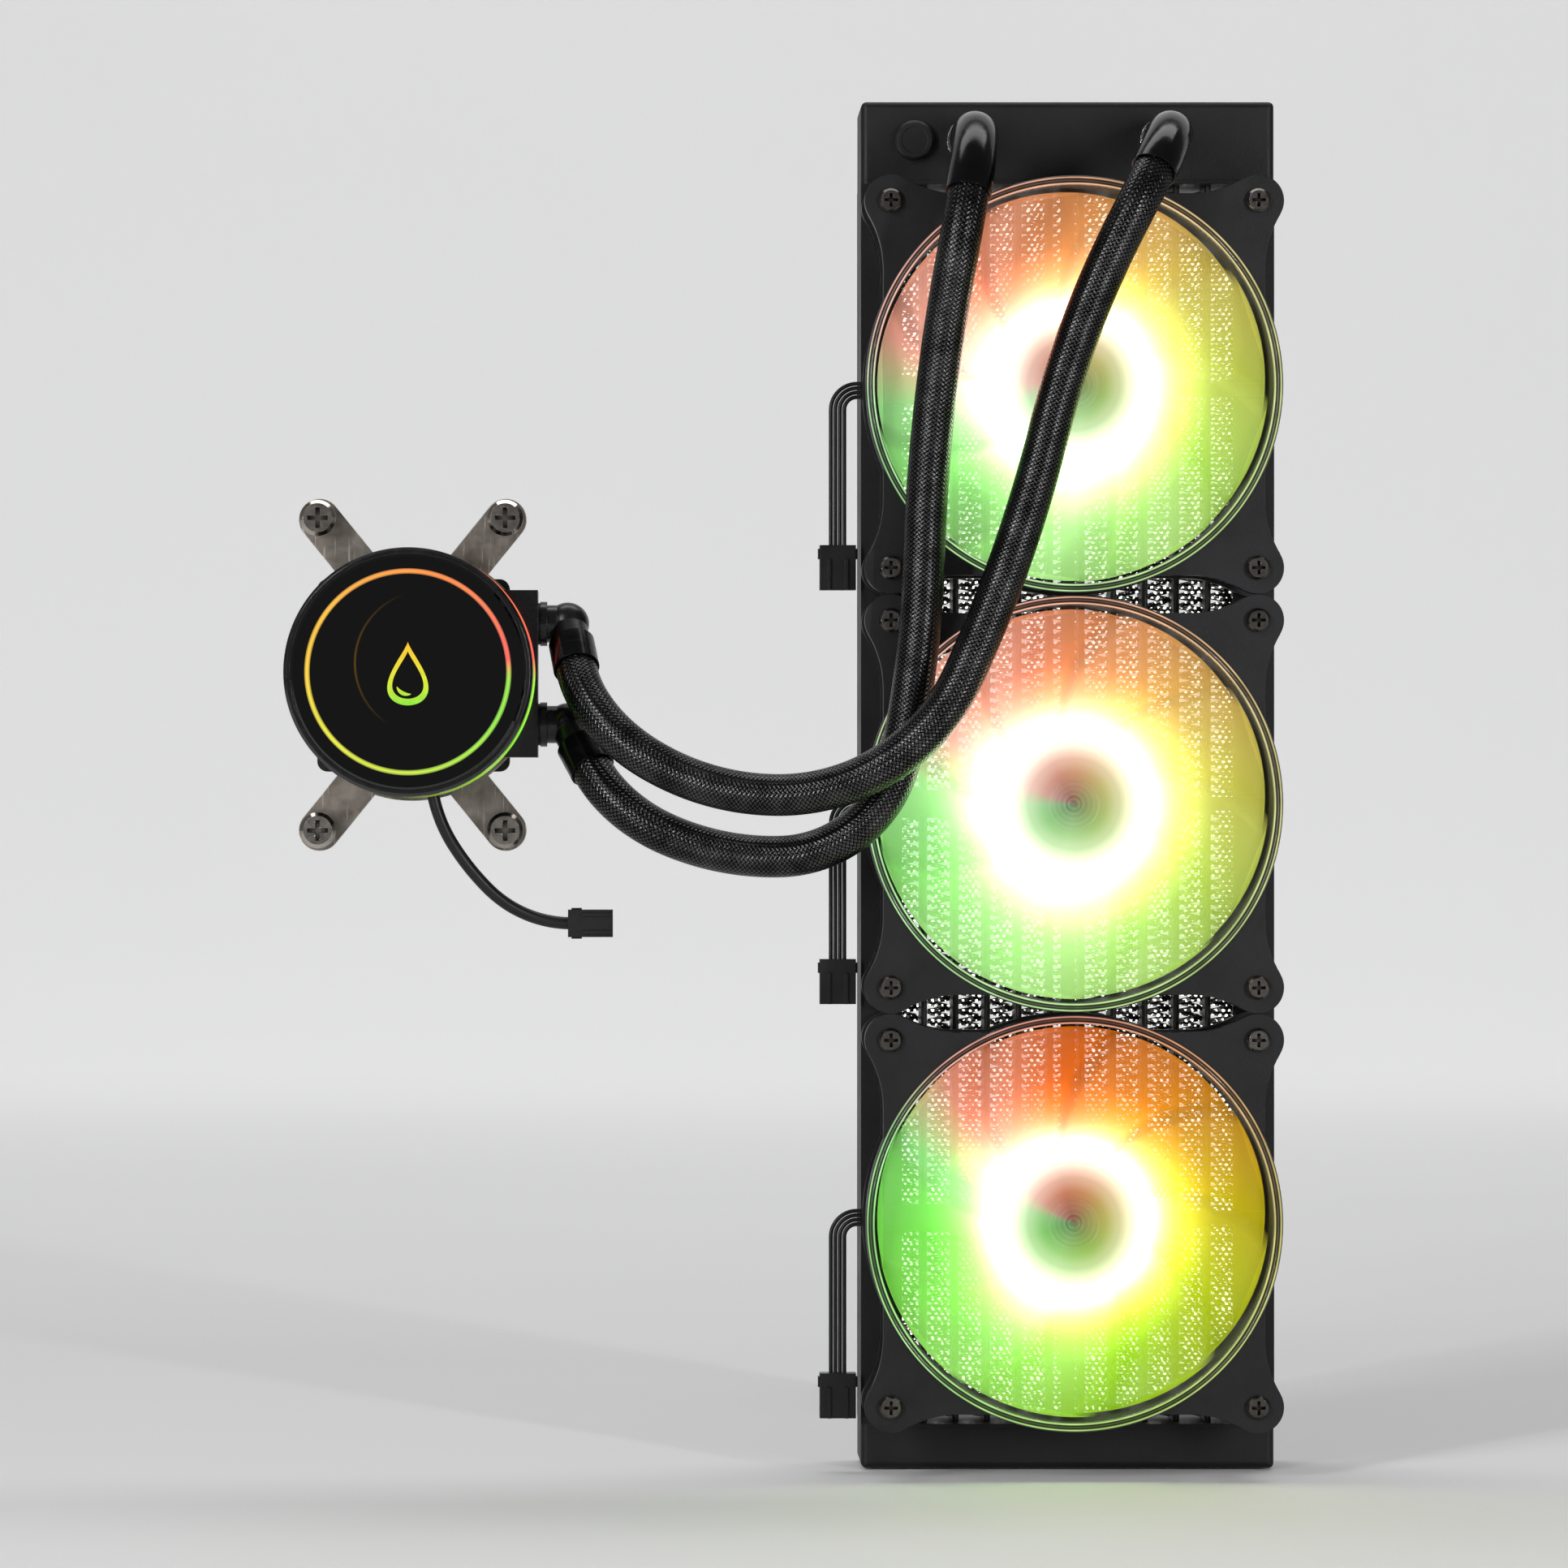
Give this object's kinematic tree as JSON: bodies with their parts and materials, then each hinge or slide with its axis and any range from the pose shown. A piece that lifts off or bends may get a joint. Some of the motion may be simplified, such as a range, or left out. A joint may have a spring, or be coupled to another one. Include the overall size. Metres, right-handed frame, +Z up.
{
  "type": "liquid cooling radiator",
  "caption": "Closed-loop liquid cooler: a long finned radiator with a row of lit fans, braided hoses and a round pump head with a light ring and cold plate.",
  "frame": {"origin": "centre of the radiator's rear mounting face, level with the middle fan's axis", "axes": "+Z up along the row of fans towards the port tank, +X to the right seen from the fans, +Y out of the mounting face away from the fans"},
  "size_m": [0.2865, 0.0814, 0.397],
  "materials": {
    "tube_metal": "thin black paint over brazed aluminium",
    "fin_metal": "thin black paint over folded aluminium foil",
    "black_paint": "matte powder coat, fine grain",
    "inner_metal": "mill finish",
    "nickel": "plated fitting",
    "plug_plastic": "moulded black",
    "seal_rubber": "soft black",
    "frame_plastic": "fine moulded texture",
    "frosted_plastic": "frosted and translucent, lit from the hub",
    "steel": "turned and ground",
    "magnet": "sintered magnet in a steel cup",
    "bronze": "sintered bush",
    "windings": "enamelled copper on steel laminations",
    "board": "solder mask with light chips",
    "dark_steel": "black oxide, worn bright on the edges",
    "lead_plastic": "flexible black jacket",
    "hose_rubber": "smooth black",
    "braid": "fine braided nylon with a silky sheen",
    "collar_plastic": "heat-shrunk collar, semi-matte",
    "copper": "machined copper, fine lines",
    "pump_plastic": "fine moulded texture",
    "rotor_plastic": "white moulded",
    "ceramic": "polished ceramic",
    "shell_gloss": "satin black with a bright chamfer",
    "light_side": "milky light guide, lit",
    "light_face": "milky light guide, lit",
    "mirror_black": "black mirror",
    "bracket_steel": "rolled sheet with light scuffs",
    "spring_steel": "drawn wire"
  },
  "bodies": {
    "radiator": {"core_tubes": "tube_metal", "core_fins": "fin_metal", "header_top": "black_paint", "header_bottom": "black_paint", "tank_top": "black_paint", "tank_bottom": "black_paint", "tank_baffle": "inner_metal", "rail_left": "black_paint", "rail_right": "black_paint", "port_barbs": "nickel", "fill_plug": "plug_plastic", "fill_plug_seal": "seal_rubber", "fan_frame_top": "frame_plastic", "fan_frame_middle": "frame_plastic", "fan_frame_bottom": "frame_plastic", "fan_bushes": "bronze", "fan_stators": "windings", "fan_boards": "board", "fan_screws": "dark_steel", "fan_leads": "lead_plastic", "hose_left": "hose_rubber", "hose_right": "hose_rubber", "sleeve_left": "braid", "sleeve_right": "braid", "radiator_collars": "collar_plastic"},
    "fan_rotor_top": {"impeller_top": "frosted_plastic", "rotor_magnet_top": "magnet", "rotor_shaft_top": "steel"},
    "fan_rotor_middle": {"impeller_middle": "frosted_plastic", "rotor_magnet_middle": "magnet", "rotor_shaft_middle": "steel"},
    "fan_rotor_bottom": {"impeller_bottom": "frosted_plastic", "rotor_magnet_bottom": "magnet", "rotor_shaft_bottom": "steel"},
    "pump_head": {"pump_collars": "collar_plastic", "cold_plate": "copper", "cold_plate_seal": "seal_rubber", "cold_plate_screws": "steel", "pump_base": "pump_plastic", "pump_body": "pump_plastic", "pump_shaft": "ceramic", "pump_stator": "windings", "pump_board": "board", "pump_shell": "shell_gloss", "side_light_ring": "light_side", "face_light_ring": "light_face", "cap_lens": "mirror_black", "elbow_upper": "pump_plastic", "elbow_lower": "pump_plastic", "elbow_seals": "seal_rubber", "bracket_upper": "bracket_steel", "bracket_lower": "bracket_steel", "bracket_screws": "steel", "mount_springs": "spring_steel", "pump_lead": "lead_plastic"},
    "pump_impeller": {"pump_rotor": "rotor_plastic"},
    "screw_1": {"mount_screw_1": "steel"},
    "screw_2": {"mount_screw_2": "steel"},
    "screw_3": {"mount_screw_3": "steel"},
    "screw_4": {"mount_screw_4": "steel"}
  },
  "joints": [
    {"name": "fan_spin_top", "type": "hinge", "parent": "radiator", "child": "fan_rotor_top", "pos_m": [0, -0.0395, 0.12], "axis": [0, -1, 0], "continuous": true},
    {"name": "fan_spin_middle", "type": "hinge", "parent": "radiator", "child": "fan_rotor_middle", "pos_m": [0, -0.0395, 0], "axis": [0, -1, 0], "continuous": true},
    {"name": "fan_spin_bottom", "type": "hinge", "parent": "radiator", "child": "fan_rotor_bottom", "pos_m": [0, -0.0395, -0.12], "axis": [0, -1, 0], "continuous": true},
    {"name": "pump_lift", "type": "slide", "parent": "radiator", "child": "pump_head", "axis": [0, -1, 0], "range_m": [0, 0.03], "deforming": ["hose_left", "hose_right", "sleeve_left", "sleeve_right"]},
    {"name": "pump_spin", "type": "hinge", "parent": "pump_head", "child": "pump_impeller", "pos_m": [-0.19, -0.037, 0.0374], "axis": [0, -1, 0], "continuous": true},
    {"name": "screw_1_travel", "type": "slide", "parent": "pump_head", "child": "screw_1", "axis": [0, -1, 0], "range_m": [0, 0.005], "deforming": ["mount_springs"]},
    {"name": "screw_2_travel", "type": "slide", "parent": "pump_head", "child": "screw_2", "axis": [0, -1, 0], "range_m": [0, 0.005], "deforming": ["mount_springs"]},
    {"name": "screw_3_travel", "type": "slide", "parent": "pump_head", "child": "screw_3", "axis": [0, -1, 0], "range_m": [0, 0.005], "deforming": ["mount_springs"]},
    {"name": "screw_4_travel", "type": "slide", "parent": "pump_head", "child": "screw_4", "axis": [0, -1, 0], "range_m": [0, 0.005], "deforming": ["mount_springs"]}
  ]
}
